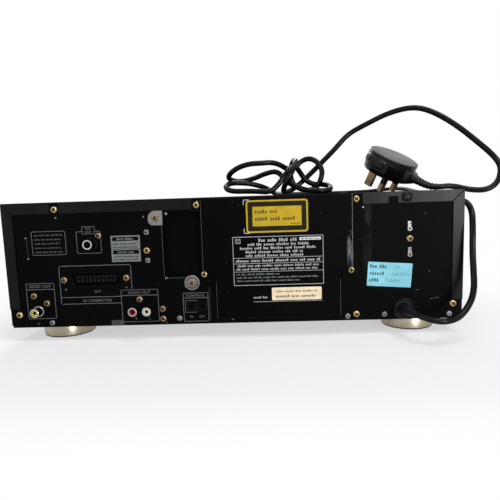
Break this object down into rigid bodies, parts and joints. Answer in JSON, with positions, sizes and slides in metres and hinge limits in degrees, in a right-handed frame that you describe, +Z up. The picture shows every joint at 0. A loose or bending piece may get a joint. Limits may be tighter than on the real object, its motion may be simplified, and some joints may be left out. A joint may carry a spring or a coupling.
{
  "type": "laserdisc player",
  "caption": "Wide flat laserdisc player: sliding disc tray, spindle and clamper, laser pickup sledge, rear phono and scart sockets, mains cord and plug tied on its top.",
  "frame": {"origin": "on the floor, under the middle of the cabinet with its keys and sockets", "axes": "+X to the right seen from the front, +Y towards the rear panel, +Z up"},
  "size_m": [0.4676, 0.418, 0.2152],
  "materials": {
    "black_enamel": "satin",
    "bonnet_enamel": "satin",
    "zinc_steel": "satin",
    "front_moulding": "satin",
    "tray_moulding": "matte",
    "key_plastic": "satin",
    "smoked_window": "polished",
    "tube_glass": "polished",
    "champagne_foot": "satin",
    "board_green": "satin",
    "board_brown": "satin",
    "core_iron": "satin",
    "white_acetal": "satin",
    "motor_steel": "satin",
    "belt_rubber": "matte",
    "mat_rubber": "matte",
    "bright_steel": "polished",
    "lens_glass": "polished",
    "yellow_jack": "gloss",
    "red_jack": "gloss",
    "white_jack": "gloss",
    "tin_can": "satin",
    "socket_black": "satin",
    "gold_zinc": "satin",
    "copper_plate": "satin",
    "nickel": "satin",
    "cord_sheath": "satin",
    "plug_black": "satin",
    "pin_brass": "satin"
  },
  "bodies": {
    "cabinet": {"base_pan": "zinc_steel", "rear_panel": "black_enamel", "centre_cover": "black_enamel", "bonnet": "bonnet_enamel", "fascia": "front_moulding", "foot_rear_left": "champagne_foot", "foot_rear_right": "champagne_foot", "foot_front_left": "champagne_foot", "foot_front_right": "champagne_foot", "display_window": "smoked_window", "display_tube": "tube_glass", "front_board": "board_brown", "side_frame_left": "zinc_steel", "side_frame_right": "zinc_steel", "clamp_bridge": "zinc_steel", "hinge_bracket": "zinc_steel", "cam_bracket": "zinc_steel", "loading_belt": "belt_rubber", "front_beam": "zinc_steel", "loading_motor": "motor_steel", "main_board": "board_green", "power_board": "board_brown", "jack_board": "board_brown", "transformer": "core_iron", "video_jack": "yellow_jack", "audio_jack_red": "red_jack", "audio_jack_white": "white_jack", "rf_converter": "tin_can", "scart_socket": "socket_black", "control_jacks": "socket_black", "cord_gland": "plug_black", "gold_screws": "gold_zinc", "copper_screws": "copper_plate", "panel_rivets": "nickel", "mains_cord_lower": "cord_sheath", "mains_cord_bundle": "cord_sheath", "mains_cord_upper": "cord_sheath", "plug_body": "plug_black", "plug_pins": "pin_brass"},
    "tray": {"disc_tray": "tray_moulding", "tray_door": "front_moulding"},
    "loading_gear": {"loading_gear": "white_acetal"},
    "drive_pulley": {"drive_pulley": "white_acetal"},
    "drive_base": {"drive_frame": "zinc_steel", "spindle_motor": "motor_steel", "guide_shafts": "bright_steel", "feed_motor": "motor_steel"},
    "platter": {"turntable": "motor_steel", "turntable_mat": "mat_rubber"},
    "pickup": {"pickup_carriage": "socket_black", "objective_lens": "lens_glass"},
    "lead_screw": {"feed_screw": "white_acetal"},
    "disc_clamp": {"clamper": "white_acetal"},
    "lift_cam": {"cam_plate": "white_acetal"},
    "power_key": {"power_key": "key_plastic"},
    "eject_key": {"eject_key": "key_plastic"},
    "stop_key": {"stop_key": "key_plastic"},
    "play_key": {"play_key": "key_plastic"},
    "back_key": {"back_key": "key_plastic"},
    "next_key": {"next_key": "key_plastic"}
  },
  "joints": [
    {"name": "tray_slide", "type": "slide", "parent": "cabinet", "child": "tray", "axis": [0, -1, 0], "range_m": [0, 0.305]},
    {"name": "loading_gear_spin", "type": "hinge", "parent": "cabinet", "child": "loading_gear", "pos_m": [0.136, -0.142, 0.07], "axis": [0, 0, 1], "range_deg": [-1460, 0]},
    {"name": "drive_pulley_spin", "type": "hinge", "parent": "cabinet", "child": "drive_pulley", "pos_m": [0.086, -0.142, 0.069], "axis": [0, 0, 1], "range_deg": [-6665, 0]},
    {"name": "base_tilt", "type": "hinge", "parent": "cabinet", "child": "drive_base", "pos_m": [0, 0.157, 0.0615], "axis": [1, 0, 0], "range_deg": [0, 3.8]},
    {"name": "platter_spin", "type": "hinge", "parent": "drive_base", "child": "platter", "pos_m": [0, -0.026, 0.07], "axis": [0, 0, 1], "continuous": true},
    {"name": "pickup_slide", "type": "slide", "parent": "drive_base", "child": "pickup", "axis": [0, 1, 0], "range_m": [0, 0.117]},
    {"name": "lead_screw_spin", "type": "hinge", "parent": "drive_base", "child": "lead_screw", "pos_m": [0.03, 0, 0.071], "axis": [0, 1, 0], "range_deg": [0, 7025]},
    {"name": "disc_clamp_spin", "type": "hinge", "parent": "cabinet", "child": "disc_clamp", "pos_m": [0, -0.026, 0.1], "axis": [0, 0, 1], "continuous": true},
    {"name": "cam_slide", "type": "slide", "parent": "cabinet", "child": "lift_cam", "axis": [1, 0, 0], "range_m": [0, 0.0241]},
    {"name": "power_key_press", "type": "slide", "parent": "cabinet", "child": "power_key", "axis": [0, 1, 0], "range_m": [0, 0.0012], "stiffness_N_per_m": 400},
    {"name": "eject_key_press", "type": "slide", "parent": "cabinet", "child": "eject_key", "axis": [0, 1, 0], "range_m": [0, 0.0012], "stiffness_N_per_m": 400},
    {"name": "stop_key_press", "type": "slide", "parent": "cabinet", "child": "stop_key", "axis": [0, 1, 0], "range_m": [0, 0.0012], "stiffness_N_per_m": 400},
    {"name": "play_key_press", "type": "slide", "parent": "cabinet", "child": "play_key", "axis": [0, 1, 0], "range_m": [0, 0.0012], "stiffness_N_per_m": 400},
    {"name": "back_key_press", "type": "slide", "parent": "cabinet", "child": "back_key", "axis": [0, 1, 0], "range_m": [0, 0.0012], "stiffness_N_per_m": 400},
    {"name": "next_key_press", "type": "slide", "parent": "cabinet", "child": "next_key", "axis": [0, 1, 0], "range_m": [0, 0.0012], "stiffness_N_per_m": 400}
  ],
  "couplings": [
    {"joint": "loading_gear_spin", "follows": "tray_slide", "rad_per_m": -83.333},
    {"joint": "drive_pulley_spin", "follows": "tray_slide", "rad_per_m": -380.95},
    {"joint": "lead_screw_spin", "follows": "pickup_slide", "rad_per_m": 1047.2},
    {"joint": "disc_clamp_spin", "follows": "platter_spin", "ratio": 1},
    {"joint": "cam_slide", "follows": "base_tilt", "m_per_rad": 0.36187}
  ]
}
